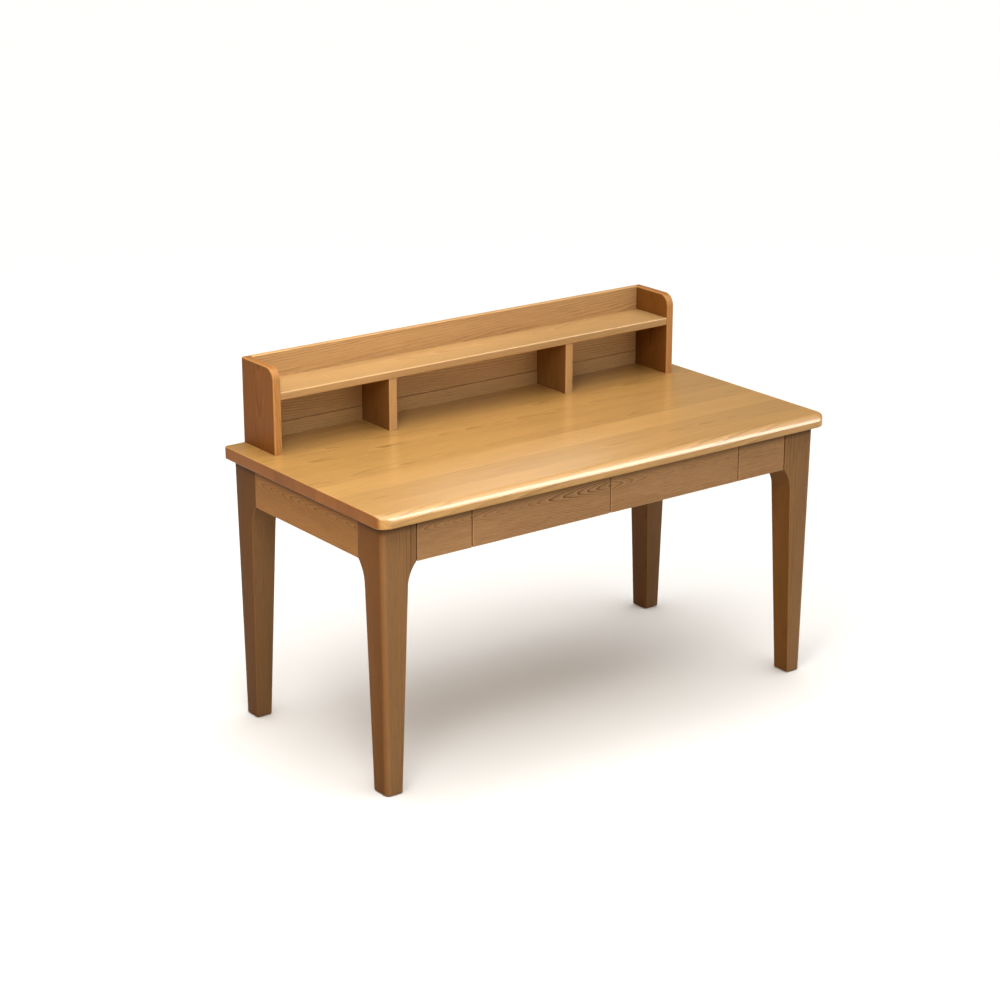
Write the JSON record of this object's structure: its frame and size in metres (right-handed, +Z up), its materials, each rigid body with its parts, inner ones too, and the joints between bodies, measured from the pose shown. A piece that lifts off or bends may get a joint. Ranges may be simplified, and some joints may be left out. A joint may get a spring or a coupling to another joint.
{
  "type": "writing desk with hutch",
  "caption": "Solid wood writing desk with tapered bracket legs, rounded front nose, flush drawers on telescopic ball-bearing slides, and a low rear hutch with a shelf and dividers.",
  "frame": {"origin": "on the floor, under the centre of the desktop", "axes": "+X right as the sitter sees it, +Y towards the hutch, +Z up; the drawers open towards -Y"},
  "size_m": [1.4, 0.7, 0.941],
  "materials": {
    "apron_wood": "clear satin lacquer",
    "desktop_wood": "clear satin lacquer over honey-coloured oak",
    "drawer_box_wood": "sanded and sealed poplar",
    "felt": "pressed felt",
    "front_wood": "clear satin lacquer, cathedral grain",
    "hutch_wood": "clear satin lacquer over honey-coloured oak",
    "inner_wood": "planed and sealed softwood",
    "leg_wood": "clear satin lacquer, straight grain",
    "zinc_steel": "zinc plated"
  },
  "bodies": {
    "desk": {"desktop": "desktop_wood", "leg_front_left": "leg_wood", "leg_front_right": "leg_wood", "leg_rear_left": "leg_wood", "leg_rear_right": "leg_wood", "side_apron_left": "apron_wood", "side_apron_right": "apron_wood", "rear_apron": "apron_wood", "front_panel_left": "front_wood", "front_panel_right": "front_wood", "front_rail": "front_wood", "drawer_carrier_left": "inner_wood", "drawer_carrier_center": "inner_wood", "drawer_carrier_right": "inner_wood", "corner_blocks": "inner_wood", "hanger_bolts": "zinc_steel", "flange_nuts": "zinc_steel", "desktop_brackets": "zinc_steel", "bracket_screws": "zinc_steel", "foot_pads": "felt", "fixed_rail_screws": "zinc_steel", "left_fixed_rail_outer": "zinc_steel", "left_fixed_rail_inner": "zinc_steel", "right_fixed_rail_outer": "zinc_steel", "right_fixed_rail_inner": "zinc_steel", "hutch_side_left": "hutch_wood", "hutch_side_right": "hutch_wood", "hutch_shelf": "hutch_wood", "hutch_divider_left": "hutch_wood", "hutch_divider_right": "hutch_wood", "hutch_back_panel": "hutch_wood", "hutch_back_rail": "hutch_wood", "hutch_dowels": "inner_wood"},
    "left_drawer": {"left_drawer_face": "front_wood", "left_drawer_box_front": "drawer_box_wood", "left_drawer_back": "drawer_box_wood", "left_drawer_side_outer": "drawer_box_wood", "left_drawer_side_inner": "drawer_box_wood", "left_drawer_bottom": "drawer_box_wood", "left_drawer_face_screws": "zinc_steel", "left_drawer_rail_screws": "zinc_steel", "left_moving_rail_outer": "zinc_steel", "left_moving_rail_inner": "zinc_steel"},
    "left_slide_middle": {"left_middle_rails": "zinc_steel"},
    "left_slide_fixed_cages": {"left_fixed_ball_cages": "zinc_steel"},
    "left_slide_moving_cages": {"left_moving_ball_cages": "zinc_steel"},
    "right_drawer": {"right_drawer_face": "front_wood", "right_drawer_box_front": "drawer_box_wood", "right_drawer_back": "drawer_box_wood", "right_drawer_side_outer": "drawer_box_wood", "right_drawer_side_inner": "drawer_box_wood", "right_drawer_bottom": "drawer_box_wood", "right_drawer_face_screws": "zinc_steel", "right_drawer_rail_screws": "zinc_steel", "right_moving_rail_outer": "zinc_steel", "right_moving_rail_inner": "zinc_steel"},
    "right_slide_middle": {"right_middle_rails": "zinc_steel"},
    "right_slide_fixed_cages": {"right_fixed_ball_cages": "zinc_steel"},
    "right_slide_moving_cages": {"right_moving_ball_cages": "zinc_steel"}
  },
  "joints": [
    {"name": "left_drawer_slide", "type": "slide", "parent": "desk", "child": "left_drawer", "axis": [0, -1, 0], "range_m": [0, 0.43]},
    {"name": "left_slide_middle_slide", "type": "slide", "parent": "desk", "child": "left_slide_middle", "axis": [0, -1, 0], "range_m": [0, 0.215]},
    {"name": "left_slide_fixed_cages_slide", "type": "slide", "parent": "desk", "child": "left_slide_fixed_cages", "axis": [0, -1, 0], "range_m": [0, 0.1075]},
    {"name": "left_slide_moving_cages_slide", "type": "slide", "parent": "desk", "child": "left_slide_moving_cages", "axis": [0, -1, 0], "range_m": [0, 0.3225]},
    {"name": "right_drawer_slide", "type": "slide", "parent": "desk", "child": "right_drawer", "axis": [0, -1, 0], "range_m": [0, 0.43]},
    {"name": "right_slide_middle_slide", "type": "slide", "parent": "desk", "child": "right_slide_middle", "axis": [0, -1, 0], "range_m": [0, 0.215]},
    {"name": "right_slide_fixed_cages_slide", "type": "slide", "parent": "desk", "child": "right_slide_fixed_cages", "axis": [0, -1, 0], "range_m": [0, 0.1075]},
    {"name": "right_slide_moving_cages_slide", "type": "slide", "parent": "desk", "child": "right_slide_moving_cages", "axis": [0, -1, 0], "range_m": [0, 0.3225]}
  ],
  "couplings": [
    {"joint": "left_slide_middle_slide", "follows": "left_drawer_slide", "ratio": 0.5},
    {"joint": "left_slide_fixed_cages_slide", "follows": "left_drawer_slide", "ratio": 0.25},
    {"joint": "left_slide_moving_cages_slide", "follows": "left_drawer_slide", "ratio": 0.75},
    {"joint": "right_slide_middle_slide", "follows": "right_drawer_slide", "ratio": 0.5},
    {"joint": "right_slide_fixed_cages_slide", "follows": "right_drawer_slide", "ratio": 0.25},
    {"joint": "right_slide_moving_cages_slide", "follows": "right_drawer_slide", "ratio": 0.75}
  ]
}
